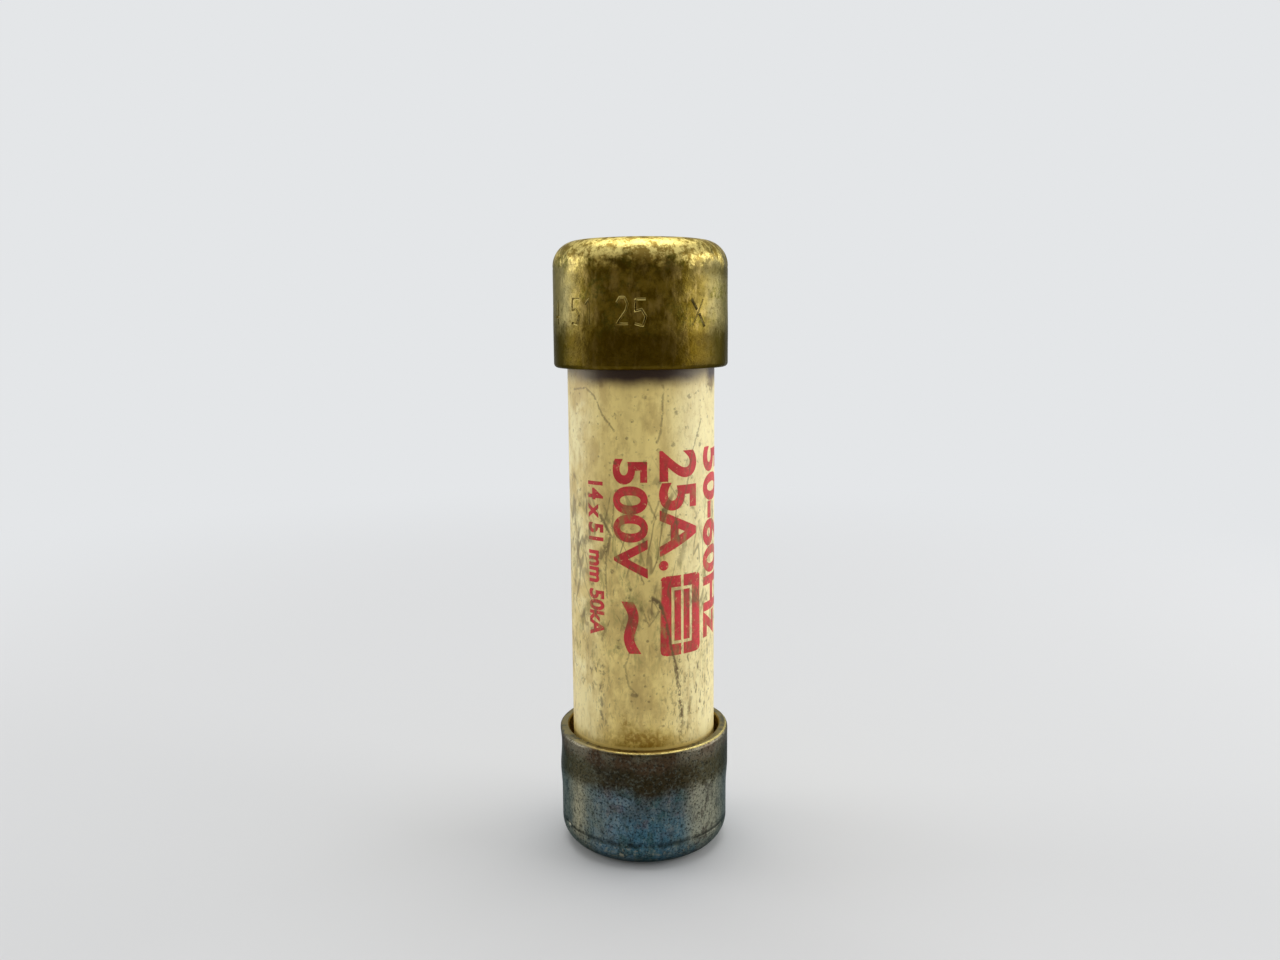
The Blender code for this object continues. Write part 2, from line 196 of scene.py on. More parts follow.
class Wire:
    # one output of a shader node; sums of wires and numbers add their own Math nodes
    def __init__(self, tree, socket=None):
        self.tree = tree
        self.socket = socket

    def add(self, kind, settings=None, inputs=None, out=0):
        made = self.tree.nodes.new("ShaderNode" + kind)
        for name, value in (settings or {}).items():
            setattr(made, name, value)
        for name, value in (inputs or {}).items():
            if isinstance(value, Wire):
                self.tree.links.new(value.socket, made.inputs[name])
            else:
                made.inputs[name].default_value = value
        return Wire(self.tree, made.outputs[out])

    def other(self, out):
        # another output of the same node
        return Wire(self.tree, self.socket.node.outputs[out])

    def maths(self, operation, first, second=0.0, clamp=False):
        settings = {"operation": operation, "use_clamp": clamp}
        return self.add("Math", settings, {0: first, 1: second})

    def vector(self, operation, second=(0.0, 0.0, 0.0), out="Vector"):
        return self.add("VectorMath", {"operation": operation}, {0: self, 1: second}, out)

    def __add__(self, other):
        return self.maths("ADD", self, other)

    def __radd__(self, other):
        return self.maths("ADD", other, self)

    def __sub__(self, other):
        return self.maths("SUBTRACT", self, other)

    def __rsub__(self, other):
        return self.maths("SUBTRACT", other, self)

    def __mul__(self, other):
        return self.maths("MULTIPLY", self, other)

    def __rmul__(self, other):
        return self.maths("MULTIPLY", other, self)

    def __truediv__(self, other):
        return self.maths("DIVIDE", self, other)

    def __abs__(self):
        return self.maths("ABSOLUTE", self)

    def least(self, other):
        return self.maths("MINIMUM", self, other)

    def most(self, other):
        return self.maths("MAXIMUM", self, other)

    def below(self, other):
        return self.maths("LESS_THAN", self, other)

    def clamped(self):
        return self.maths("MULTIPLY", self, 1.0, clamp=True)

    def fade(self, start, end):
        # 0 at start, 1 at end, eased between them; start may be the larger one
        if start > end:
            return 1 - self.fade(end, start)
        settings = {"interpolation_type": "SMOOTHSTEP"}
        return self.add("MapRange", settings, {0: self, 1: start, 2: end, 3: 0.0, 4: 1.0})

    def between(self, low, high):
        # low where this is 0, high where it is 1
        return low + self * (high - low)

    def band(self, low, high, soft):
        # 1 between low and high, with soft sides
        return self.fade(low - soft, low + soft) * self.fade(high + soft, high - soft)

    def point(self):
        # the place on the piece in millimetres
        perMetre = (1 / mm, 1 / mm, 1 / mm)
        return self.add("TexCoord", out="Object").vector("MULTIPLY", perMetre)

    def stretched(self, across, up):
        # a point with its scale changed across and along the fuse
        return self.vector("MULTIPLY", (across, across, up))

    def shifted(self, offset):
        return self.vector("ADD", offset)

    def turned(self, degrees, across, up):
        # a flat (girth, height) point turned, then with its scale changed
        turn = {"Vector": self, "Rotation": (0, 0, math.radians(degrees))}
        return self.add("Mapping", None, turn).vector("MULTIPLY", (across, up, 1.0))

    def axis(self, name):
        return self.add("SeparateXYZ", None, {0: self}, out="XYZ".index(name))

    def length(self):
        return self.vector("LENGTH", out="Value")

    def noise(self, scale, detail=2.0, rough=0.5, warp=0.0):
        inputs = {"Vector": self, "Scale": scale, "Detail": detail,
                  "Roughness": rough, "Distortion": warp}
        return self.add("TexNoise", None, inputs)

    def flecks(self, scale, share, size, flat=False):
        # spots scattered one to a cell: share of the cells have one, of up to size of a cell
        settings = {"voronoi_dimensions": "2D" if flat else "3D"}
        away = self.add("TexVoronoi", settings, {"Vector": self, "Scale": scale})
        chance = away.other("Color").axis("X")
        width = away.other("Color").axis("Y") * (size * 0.65) + size * 0.35
        return (away / width).fade(1.0, 0.5) * chance.below(share)

    def hairs(self, scale, width):
        # thin wandering lines, where a soft noise crosses its middle value
        ridge = abs(self.noise(scale, 2.0, 0.5) - 0.5)
        return ridge.fade(width, width * 0.3)

    def blend(self, factor, under, over):
        # the over colour on the under colour, as much as factor says
        return self.add("Mix", {"data_type": "RGBA"}, {0: factor, 6: under, 7: over}, out=2)

    def coat(self, factor, paint):
        return self.blend(factor, self, paint)

    def bump(self, height, depth, normal=None):
        # height from 0 to 1 stands for depth, in millimetres
        inputs = {"Height": height, "Distance": depth * mm, "Strength": 1.0}
        if normal is not None:
            inputs["Normal"] = normal
        return self.add("Bump", None, inputs)


def newMaterial(name):
    material = bpy.data.materials.new(name)
    material.use_nodes = True
    shader = material.node_tree.nodes["Principled BSDF"]
    return material, shader, Wire(material.node_tree)


def feed(wire, shader, **inputs):
    # keyword names are the shader's sockets with the spaces left out
    sockets = {socket.name.replace(" ", ""): socket for socket in shader.inputs}
    for name, value in inputs.items():
        if isinstance(value, Wire):
            wire.tree.links.new(value.socket, sockets[name])
        else:
            sockets[name].default_value = value


tube = {
    "name": "tube_body",
    "node": "ceramic_tube",
    "slot": "cream_ceramic",
    "wall": 1.8,
    "edge": 0.25,  # chamfer at the ends of the bore
    "outerEdge": 0.6,  # chamfer that clears the corners of the inner caps
    "steps": 192,
    "ringSpacing": 0.4,
    "swell": (5.0, 0.02),  # size and depth of the unevenness of its surface
    "smoothAngle": 30,
    "roughness": (0.34, 0.58),
    "gloss": 0.45,
    "grainDepth": 0.012,
    **paints(
        # the yellowed colour paints a warmer light on the front
        cream=(250, 236, 174), yellowed=(250, 221, 124), cloud=(226, 200, 120),
        # the soot colour also paints the shadow under the upper cap
        shade=(190, 160, 90), smear=(146, 136, 70), mark=(104, 84, 42), soot=(44, 20, 2),
        footDirt=(150, 112, 0), footOlive=(232, 200, 96), footStain=(250, 220, 100),
        # the foot gold paints the lower cap's brass mirrored on the tube
        footGold=(255, 226, 128),
    ),
    "scratchGaps": (0.28, 0.46),  # a line fades in as the grain goes from the one to the other
    "crackGaps": (0.4, 0.54),
}
tubeLow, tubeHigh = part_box(tube["node"])
tubeRadius = tubeHigh.x / mm
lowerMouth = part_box("lower_outer_cap")[1].z / mm
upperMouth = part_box("upper_outer_cap")[0].z / mm

# drawn lines: half width, darkness, and points (girth from the front, height)
tubeScratches = [
    (0.08, 0.6, [(-6.6, 39.2), (-4.9, 39.4), (-4.0, 38.8), (-3.2, 37.3), (-2.2, 36.1)]),
    (0.08, 0.5, [(1.75, 39.6), (1.65, 37.4), (1.5, 35.9), (1.2, 35.1)]),
    (0.07, 0.5, [(5.5, 36.8), (4.4, 34.3), (4.0, 32.2), (3.4, 30.2)]),
    (0.12, 0.75, [(-3.5, 29.3), (-2.6, 27.7), (-3.0, 26.4)]),
    (0.08, 0.5, [(-3.0, 26.4), (-3.1, 24.5), (-3.0, 22.6)]),
    (0.07, 0.55, [(-2.3, 30.4), (-2.45, 28.1)]),
    (0.07, 0.5, [(0.4, 30.7), (1.1, 29.1)]),
    (0.07, 0.45, [(1.35, 30.5), (0.75, 28.8)]),
    (0.07, 0.5, [(0.1, 21.4), (0.5, 20.4), (1.35, 21.6)]),
    (0.3, 0.4, [(3.6, 26.7), (3.1, 25.5)]),
    (0.07, 0.6, [(-0.9, 25.3), (-0.2, 24.6), (0.1, 23.9)]),
    (0.12, 0.5, [(2.9, 29.2), (2.2, 27.6), (1.5, 26.6)]),
    (0.7, 0.9, [(7.3, 41.0), (7.45, 40.4), (7.2, 39.6)]),
    (0.22, 0.6, [(-3.35, 40.9), (-3.3, 39.7)]),
    (0.08, 0.45, [(-1.1, 18.2), (-1.5, 17.0), (-1.2, 15.4), (-0.5, 14.6)]),
    (0.17, 0.95, [(0.85, 22.6), (1.3, 22.3), (1.5, 21.8)]),
    (0.11, 0.85, [(1.5, 21.9), (1.95, 20.4), (2.4, 18.2), (2.85, 16.6)]),
    (0.15, 0.75, [(-3.7, 14.0), (-3.6, 13.5)]),
    (0.13, 0.75, [(-3.75, 12.9), (-3.6, 12.3)]),
    (0.17, 0.6, [(-0.95, 14.7), (-0.6, 14.6)]),
    (0.15, 0.45, [(4.25, 13.9), (3.95, 12.8)]),
]
tubeCracks = [
    (0.15, 0.8, [(2.85, 16.6), (2.9, 15.4), (3.15, 13.9), (3.3, 12.6)]),
    (0.2, 0.45, [(3.15, 12.7), (3.4, 11.9), (3.2, 11.0), (3.4, 10.2)]),
]


def strokeDistance(wire, spot, path):
    # how far, in millimetres, a spot (girth, height) is from a drawn line
    nearest = None
    for start, end in zip(path, path[1:]):
        run = Vector((end[0] - start[0], end[1] - start[1], 0))
        fromStart = spot.vector("SUBTRACT", (*start, 0))
        along = fromStart.vector("DOT_PRODUCT", run / run.length_squared, "Value").clamped()
        foot = wire.add("VectorMath", {"operation": "SCALE"}, {0: run, "Scale": along})
        away = fromStart.vector("DISTANCE", foot, "Value")
        nearest = away if nearest is None else nearest.least(away)
    return nearest


def girthSpot(wire, spot):
    # (girth from the front, height) in millimetres of a point on the tube
    angle = wire.maths("ARCTAN2", spot.axis("X"), spot.axis("Y") * -1)
    return wire.add("CombineXYZ", None, {0: angle * tubeRadius, 1: spot.axis("Z"), 2: 0.0})


def handledAndShadedColour(wire, spot, colour):
    # the dirt of handling, with painted shadow under the upper cap and a painted reflection at the foot,
    # laid over the tube's or the print's own colour
    height = spot.axis("Z")
    flat = girthSpot(wire, spot)
    girth = flat.axis("X")
    grain = spot.noise(3.0, 3.0, 0.65)
    patches = spot.shifted((3.0, 9.0, 5.0)).noise(0.45, 3.0, 0.6)
    wobble = wire.add("CombineXYZ", None, {0: grain * 0.5 - 0.25, 1: 0.0, 2: 0.0})
    wandering = flat.shifted(wobble)

    # thin smears of olive, mostly where it is printed
    smear = spot.stretched(1.0, 0.45).noise(0.95, 5.0, 0.7, 0.5).fade(0.5, 0.68)
    colour = colour.coat(smear * height.band(17.0, 31.0, 3.0) * 0.75, tube["smear"])
    for turn, strength in ((14, 0.6), (-26, 0.45)):
        hairs = flat.turned(turn, 1.0, 0.22).hairs(0.5, 0.024) * patches.fade(0.46, 0.58)
        colour = colour.coat(hairs * height.band(19.0, 33.0, 3.0) * strength, tube["mark"])

    # short upright rubs left by metal, most of them low down and at the sides
    low = height.fade(21.0, 16.5) * 0.8 + 0.2
    sides = abs(girth + 0.4).fade(1.6, 3.4) * 0.75 + 0.25
    for turn, thinness, scale, share in ((4, 4.4, 0.6, 0.5), (-9, 4.4, 0.5, 0.4), (9, 3.0, 0.36, 0.5)):
        rubs = wandering.turned(turn, thinness, 1.0).flecks(scale, share, 0.27, True)
        colour = colour.coat(rubs * patches.fade(0.36, 0.56) * low * sides * 0.5, tube["mark"])
    for turn, thinness in ((3, 3.4), (-7, 2.4)):
        scuffs = flat.turned(turn, thinness, 0.8).noise(1.3, 3.0, 0.6, 0.4).fade(0.58, 0.7)
        colour = colour.coat(scuffs * low * sides * 0.8, tube["mark"])

    # round specks, large and small
    for scale, share, size, strength in ((0.8, 0.5, 0.22, 0.6), (1.9, 0.26, 0.28, 0.5)):
        specks = wandering.flecks(scale, share, size, True)
        colour = colour.coat(specks * grain.fade(0.4, 0.6) * strength, tube["mark"])

    # scratches and cracks, none of them quite straight
    shaking = wire.blend(0.75, flat, wandering)
    for lines, gaps in ((tubeScratches, tube["scratchGaps"]), (tubeCracks, tube["crackGaps"])):
        for halfWidth, darkness, path in lines:
            away = strokeDistance(wire, shaking, path)
            edge = halfWidth * (grain * 2.4 - 0.2)
            mark = (away / edge).fade(1.6, 0.3) * grain.fade(*gaps) * darkness
            colour = colour.coat(mark, tube["mark"])

    # golden stain and dirt at the foot, and just inside the lower cap's mouth a painted reflection of
    # its brass
    blotch = spot.shifted((5.0, 2.0, 6.0)).noise(1.2, 3.0, 0.6)
    creep = spot.shifted((7.0, 1.0, 0.0)).noise(0.45, 3.0, 0.6)
    fromFoot = height - lowerMouth + (creep - 0.5) * 3.6 + (blotch - 0.5) * 1.4
    middle = abs(girth + 0.2).fade(3.8, 0.6) * 0.8 + 0.1
    colour = colour.coat(fromFoot.fade(2.6, 0.3) * (middle * 0.5 + 0.1), tube["footStain"])
    dirt = (fromFoot - middle * 0.6).fade(1.8, 0.1) * (blotch * 0.5 + creep * 0.5).fade(0.3, 0.46)
    dirt = dirt * (grain.fade(0.4, 0.56) * 0.5 + 0.5)
    colour = colour.coat(fromFoot.fade(1.0, 0.2) * (middle * 0.5 + 0.1), tube["footOlive"])
    colour = colour.coat(dirt * (middle + 0.05), tube["footDirt"])
    splashes = fromFoot.fade(4.0, 1.5) * blotch.fade(0.56, 0.68) * (middle * 0.4 + 0.2)
    colour = colour.coat(splashes, tube["footDirt"])
    peppered = spot.shifted((2.0, 2.0, 7.0)).stretched(1.1, 0.6).noise(1.7, 5.0, 0.72, 0.7)
    peppered = peppered.fade(0.53, 0.66) * (fromFoot - middle * 1.2).fade(2.8, 0.6)
    colour = colour.coat(peppered * (middle * 0.4 + 0.3), tube["footDirt"])
    # painted reflection: the tube just inside the lower cap's mouth is painted bright gold, as the brass
    # mirrored there
    behindMouth = height.fade(lowerMouth + 0.1, lowerMouth - 0.1)
    colour = colour.coat(behindMouth * 0.8, tube["footGold"])

    # soot and painted shadow under the upper cap, thickest in front; the broader shade just below it is
    # painted shadow too
    front = (girth + 0.1) * 0.2
    front = (front * front).fade(1.6, 0.1).most(abs(girth - 7.7).fade(1.8, 0.5))
    fromTop = upperMouth - height + (creep - 0.5) * 0.7 + (1 - front) * 0.3
    colour = colour.coat(fromTop.fade(2.6, 0.6) * 0.55, tube["shade"])
    colour = colour.coat(fromTop.fade(1.7, 0.5) * (front * 0.35 + 0.65), tube["soot"])
    return colour


def ceramicMaterial():
    material, shader, wire = newMaterial("ceramic_cream")
    spot = wire.point()
    across, height = spot.axis("X"), spot.axis("Z")
    # painted shade: the broad clouds thicken towards the bottom, darkening the lower half
    broad = spot.noise(0.3, 4.0, 0.6) + (25.0 - height) * 0.004
    cloudy = spot.shifted((1.0, 4.0, 2.0)).stretched(1.1, 0.55).noise(0.75, 4.0, 0.6)
    streaks = spot.stretched(1.1, 0.16).noise(1.0, 4.0, 0.6)
    fine = spot.noise(2.2, 4.0, 0.65)
    # painted tint of light: the front of the tube is yellower, for the warmer light that falls on it
    warmFront = abs(girthSpot(wire, spot).axis("X") + 0.8).fade(5.6, 1.2)
    # painted light: the clouds thin out towards the right, so that side reads lighter
    rightLit = across.fade(0.2, 3.4)
    colour = wire.blend(warmFront * 0.75, tube["cream"], tube["yellowed"])
    colour = colour.coat(broad.fade(0.4, 0.62) * (0.8 - rightLit * 0.65), tube["cloud"])
    colour = colour.coat(cloudy.fade(0.43, 0.66) * (0.62 - rightLit * 0.4), tube["shade"])
    streaked = height.fade(23.0, 17.0) * 0.3 + 0.2
    colour = colour.coat(streaks.fade(0.5, 0.68) * streaked, tube["shade"])
    colour = colour.coat(fine.fade(0.5, 0.7) * 0.35, tube["shade"])
    colour = handledAndShadedColour(wire, spot, colour)

    # painted light: the dirt is cleared to plain cream low on both sides in front, higher up on the
    # left, lightening the flanks that the lower cap's mouth shades
    patchy = height + (fine - 0.5) * 1.2
    wipedAndLit = across.band(-6.0, -4.0, 1.6) * patchy.band(lowerMouth, 14.6, 0.9)
    wipedAndLit = wipedAndLit + across.band(4.3, 6.0, 0.9) * patchy.band(lowerMouth - 0.3, 12.2, 0.6)
    wipedAndLit = wipedAndLit * spot.axis("Y").fade(0.6, -1.6) * (cloudy.fade(0.62, 0.42) * 0.4 + 0.45)
    colour = colour.coat(wipedAndLit, tube["cream"])
    grain = spot.noise(9.0, 3.0, 0.6)
    feed(wire, shader, BaseColor=colour, Roughness=fine.between(*tube["roughness"]),
         Normal=wire.bump(grain + streaks * 0.6, tube["grainDepth"]), SpecularIORLevel=tube["gloss"])
    return material


def makeTube():
    outer = tubeRadius
    bore = outer - tube["wall"]
    low, high = tubeLow.z / mm, tubeHigh.z / mm
    edge, outerEdge = tube["edge"], tube["outerEdge"]
    straight = high - low - 2 * outerEdge
    rings = round(straight / tube["ringSpacing"])
    points = [(bore, high - edge), (bore + edge, high), (outer - outerEdge, high)]
    for ring in range(rings + 1):
        points.append((outer, high - outerEdge - straight * ring / rings))
    points += [(outer - outerEdge, low), (bore + edge, low), (bore, low + edge), (bore, high - edge)]
    obj = spinProfile(tube["name"], points, tube["steps"])
    roughen(obj, *tube["swell"])
    smoothShading(obj, tube["smoothAngle"])
    obj.data.materials.append(ceramicMaterial())
    keepPiece(obj, tube["slot"], tube["node"])


makeTube()
print("tube made")


printing = {
    "slot": "red_ink",
    "thickness": 0.012,
    "sunk": 0.004,  # so that no light shows under its edges
    "sliceWidth": 0.22,  # how finely a flat piece is cut before it is rolled round the tube
    "curveSteps": 8,
    "smoothAngle": 35,
    "roughness": (0.4, 0.6),
    "gloss": 0.4,
    "grainDepth": 0.01,
    **paints(
        red=(214, 54, 58), deepRed=(190, 38, 42), dryRed=(156, 36, 34), bare=(232, 186, 128),
    ),
}
# each column reads downwards: name, words, boldness,
# girth of its left and right sides, height of its start and end
printedText = [
    ("print_size", "14 x 51 mm 50kA", 0.038, (-4.8, -3.25), (32.0, 19.3)),
    ("print_volts", "500V", 0.032, (-2.35, 0.45), (33.9, 24.3)),
    ("print_tilde", "~", 0.045, (-1.75, -0.15), (22.4, 18.1)),
    ("print_amps", "25A", 0.032, (1.35, 4.85), (34.5, 26.0)),
    ("print_dot", ".", 0.032, (1.3, 2.1), (25.7, 24.9)),
    ("print_cycles", "50-60Hz", 0.032, (5.75, 9.1), (34.5, 18.5)),
]
printedSymbol = {
    # the sign for a fuse, a box with a line along it, left bare in a solid block
    "name": "print_symbol",
    "left": 1.4,
    "right": 5.3,
    "start": 24.4,
    "end": 17.8,
    "corner": 0.5,
    "cornerSteps": 6,
    "border": 0.95,
    "gap": 0.26,
}


def inkMaterial():
    material, shader, wire = newMaterial("ink_red")
    spot = wire.point()
    cloudy = spot.noise(0.7, 4.0, 0.6)
    fine = spot.noise(5.5, 3.0, 0.6)
    colour = wire.blend(cloudy.fade(0.35, 0.65), printing["red"], printing["deepRed"])
    colour = colour.coat(fine.fade(0.5, 0.8) * 0.5, printing["dryRed"])
    rubbedOff = spot.shifted((5.0, 5.0, 5.0)).noise(3.1, 4.0, 0.7).fade(0.6, 0.72)
    colour = colour.coat(rubbedOff * 0.75, printing["bare"])
    colour = handledAndShadedColour(wire, spot, colour)
    feed(wire, shader, BaseColor=colour, Roughness=fine.between(*printing["roughness"]),
         Normal=wire.bump(fine, printing["grainDepth"]), SpecularIORLevel=printing["gloss"])
    return material


def flatText(name, body, bold):
    # filled letters as a flat mesh
    startPiece()
    bpy.ops.object.text_add(location=(0, 0, 0))
    obj = bpy.context.active_object
    obj.name = name
    obj.data.body = body
    obj.data.offset = bold
    obj.data.resolution_u = printing["curveSteps"]
    bpy.ops.object.convert(target="MESH")
    obj = bpy.context.active_object
    obj.data.name = name
    return obj


def fitFlat(obj, left, right, low, high):
    # moves and stretches a flat mesh into a box of girth and height, in millimetres
    xs = [vertex.co.x for vertex in obj.data.vertices]
    ys = [vertex.co.y for vertex in obj.data.vertices]
    scaleX = (right - left) * mm / (max(xs) - min(xs))
    scaleY = (high - low) * mm / (max(ys) - min(ys))
    for vertex in obj.data.vertices:
        x = left * mm + (vertex.co.x - min(xs)) * scaleX
        y = low * mm + (vertex.co.y - min(ys)) * scaleY
        vertex.co = Vector((x, y, 0))


def rollRound(obj, radius, sliceWidth):
    # cuts a flat piece into upright slices and rolls it round the axis: x goes round, y goes up
    bpy.context.view_layer.objects.active = obj
    xs = [vertex.co.x for vertex in obj.data.vertices]
    count = max(1, math.ceil((max(xs) - min(xs)) / (sliceWidth * mm)))
    bpy.ops.object.mode_set(mode="EDIT")
    for cutNumber in range(1, count):
        place = min(xs) + (max(xs) - min(xs)) * cutNumber / count
        bpy.ops.mesh.select_all(action="SELECT")
        bpy.ops.mesh.bisect(plane_co=(place, 0, 0), plane_no=(1, 0, 0), threshold=hair / 100)
    bpy.ops.mesh.select_all(action="SELECT")
    bpy.ops.mesh.remove_doubles(threshold=hair / 2)
    leaveEdit()
    reach = radius * mm
    for vertex in obj.data.vertices:
        angle = vertex.co.x / reach
        vertex.co = Vector((reach * math.sin(angle), -reach * math.cos(angle), vertex.co.y))
    obj.data.update()


def finishPrint(obj, material):
    rollRound(obj, tubeRadius - printing["sunk"], printing["sliceWidth"])
    thickness = (printing["thickness"] + printing["sunk"]) * mm
    applyModifier(obj, "SOLIDIFY", thickness=thickness, offset=1.0)
    editAll()
    bpy.ops.mesh.normals_make_consistent(inside=False)  # thickening leaves an odd face turned in
    leaveEdit()
    smoothShading(obj, printing["smoothAngle"])
    obj.data.materials.append(material)
    keepPiece(obj, printing["slot"])


def makeText(name, body, bold, sides, ends, material):
    obj = flatText(name, body, bold)
    editAll()
    bpy.ops.transform.rotate(value=math.radians(90), orient_axis="Z", center_override=(0, 0, 0))
    leaveEdit()
    fitFlat(obj, *sides, *reversed(ends))
    finishPrint(obj, material)


def makeSymbol(material):
    spec = printedSymbol
    halfWide = (spec["right"] - spec["left"]) / 2 * mm
    halfHigh = (spec["start"] - spec["end"]) / 2 * mm
    border, gap = spec["border"] * mm, spec["gap"] * mm
    startPiece()
    bpy.ops.mesh.primitive_plane_add(size=2, location=(0, 0, 0))
    obj = bpy.context.active_object
    obj.name = obj.data.name = spec["name"]
    editAll()
    bpy.ops.transform.resize(value=(halfWide, halfHigh, 1))
    bpy.ops.mesh.inset(thickness=border)
    bpy.ops.mesh.inset(thickness=gap)
    ringX = halfWide - border - gap / 2
    ringY = halfHigh - border - gap / 2
    selectOnly(obj, "FACE", lambda co: abs(max(abs(co.x) / ringX, abs(co.y) / ringY) - 1) < 0.05)
    bpy.ops.mesh.delete(type="FACE")
    selectOnly(obj, "VERT", lambda co: abs(co.x) > halfWide - 10 * hair)
    bpy.ops.mesh.bevel(offset=spec["corner"] * mm, segments=spec["cornerSteps"], affect="VERTICES")
    for side in (-1, 1):
        bpy.ops.mesh.select_all(action="SELECT")
        bpy.ops.mesh.bisect(plane_co=(side * gap / 2, 0, 0), plane_no=(1, 0, 0))
    selectOnly(obj, "FACE", lambda co: abs(co.x) < gap / 2)
    bpy.ops.mesh.delete(type="FACE")
    leaveEdit()
    fitFlat(obj, spec["left"], spec["right"], spec["end"], spec["start"])
    finishPrint(obj, material)


redInk = inkMaterial()
for row in printedText:
    makeText(*row, redInk)
makeSymbol(redInk)
print("print made")


cap = {
    "wall": 0.65,
    "faceRings": (0.15, 0.4, 0.7, 0.9),  # shares of the flat end face's radius
    "corner": 2.0,
    "cornerSteps": 14,
    "flareLength": 3.2,
    "flareTaper": 2.4,
    "grooveWidth": 0.3,
    "edge": 0.35,  # rounding of the mouth's outer edge
    "edgeSteps": 6,
    "innerEdge": 0.1,
    "innerSteps": 8,
    "steps": 192,
    "ringSpacing": 0.35,
    "swell": (2.6, 0.02),
    "smoothAngle": 40,
}
lowerCap = {
    "name": "lower_cap_shell",
    "node": "lower_outer_cap",
    "slot": "tarnished_plating",
    "flare": 0.13,
    "grooveDepth": 0.05,
    # angle from the front, height, size and depth
    "dents": [(-84, 8.2, 2.4, 0.16), (-66, 2.3, 1.2, 0.12), (118, 9.6, 1.6, 0.12), (35, 1.2, 1.2, 0.05)],
    # angle, height and size of bright spots at knocks, partly bare metal and partly painted glints where
    # a dent catches the light
    "nicks": [(-65, 2.2, 0.3), (-25, 8.75, 0.16), (-82, 8.1, 0.22), (20, 0.55, 0.3), (-16, 1.2, 0.25)],
    **paints(
        # front, blue and pale paint a blue floor mirrored in the front of the cap
        front=(80, 97, 104), blue=(70, 111, 130), pale=(108, 136, 152), teal=(56, 92, 96),
        # warm paints highlights on the flanks
        violet=(92, 86, 98), warm=(186, 180, 150), side=(118, 127, 118), shade=(58, 64, 62),
        speck=(24, 24, 19), glint=(170, 166, 146), darkBand=(52, 40, 12), darkBandSide=(78, 72, 50),
        rimGrey=(122, 115, 98), rust=(97, 78, 64), brass=(162, 138, 76), dullBrass=(106, 90, 54),
        brightBrass=(228, 210, 132), edgeTint=(150, 160, 170),
    ),
    "roughness": (0.3, 0.5),
    "grainDepth": 0.02,
    "pitDepth": 0.04,
}
upperCap = {
    "name": "upper_cap_shell",
    "node": "upper_outer_cap",
    "slot": "aged_brass",
    "flare": 0.03,
    "grooveDepth": 0.015,
    "dents": [(-62, 48.9, 1.5, 0.08), (150, 41.4, 1.6, 0.12), (75, 49.4, 1.2, 0.06),
              (76, 41.2, 0.8, 0.06)],
    **paints(
        olive=(126, 107, 40), deepOlive=(90, 73, 15), pale=(158, 136, 78), grey=(116, 112, 82),
        brown=(72, 55, 6), sideBrown=(44, 37, 14), green=(92, 92, 36), speck=(46, 34, 8),
        worn=(224, 204, 124), wornShade=(128, 104, 42), face=(168, 150, 88),
        faceShade=(138, 120, 64),
        edgeTint=(190, 188, 176),  # takes the white off what is seen at a glancing angle
    ),
    "roughness": (0.3, 0.44),
    "grainDepth": 0.02,
    "pitDepth": 0.05,
}
stamping = {
    # plain figures struck into the upper cap with punches, and a cross
    "figures": "14 51 25",
    "punches": {
        "1": [[(0.15, 0.8), (0.5, 1), (0.5, 0)]],
        "2": [[(0.05, 0.8), (0.3, 1), (0.7, 1), (0.95, 0.75), (0.8, 0.5), (0.05, 0), (1, 0)]],
        "4": [[(0.75, 0), (0.75, 1), (0, 0.3), (1, 0.3)]],
        "5": [[(0.95, 1), (0.15, 1), (0.1, 0.55), (0.6, 0.62), (0.95, 0.35), (0.7, 0), (0.05, 0.08)]],
        "x": [[(0, 1), (0.4, 0.62)], [(0.56, 0.48), (1, 0)], [(0.9, 1), (0.5, 0.55), (0.05, 0.05)]],
    },
    "start": -10.3,  # girth of the left side of the first figure
    "pitch": 1.4,
    "size": (0.95, 2.0),
    "low": 44.25,
    "unevenness": 0.12,  # how far a figure sits up or down
    "unevenStep": 2.3,
    "belt": (4.2, 7.3),  # the signs lie within these distances from the end face
    "cross": (4.15, 44.1, 1.3, 2.1),  # girth, height, width, height of the mark
    "crossWeights": (1.35, 0.8),  # the cross is struck harder one way than the other
    "cuts": 3,  # in each straight stroke, so that it follows the round of the cap
    "stroke": 0.105,  # half the width of a punch's edge
    "depth": 0.09,
}


def capRadius(spec):
    # of the straight side, in millimetres
    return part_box(spec["node"])[1].x / mm - spec["flare"]


def capSide(radius, flare, start, length):
    # (radius, distance from the end face) down the side to just before the mouth
    points = []
    count = round((length - start) / cap["ringSpacing"])
    taperStart = length + cap["edge"] - cap["flareLength"] - cap["flareTaper"]
    for step in range(count + 1):
        down = start + (length - start) * step / count
        share = min(max((down - taperStart) / cap["flareTaper"], 0), 1)
        points.append((radius + flare * share * share * (3 - 2 * share), down))
    return points


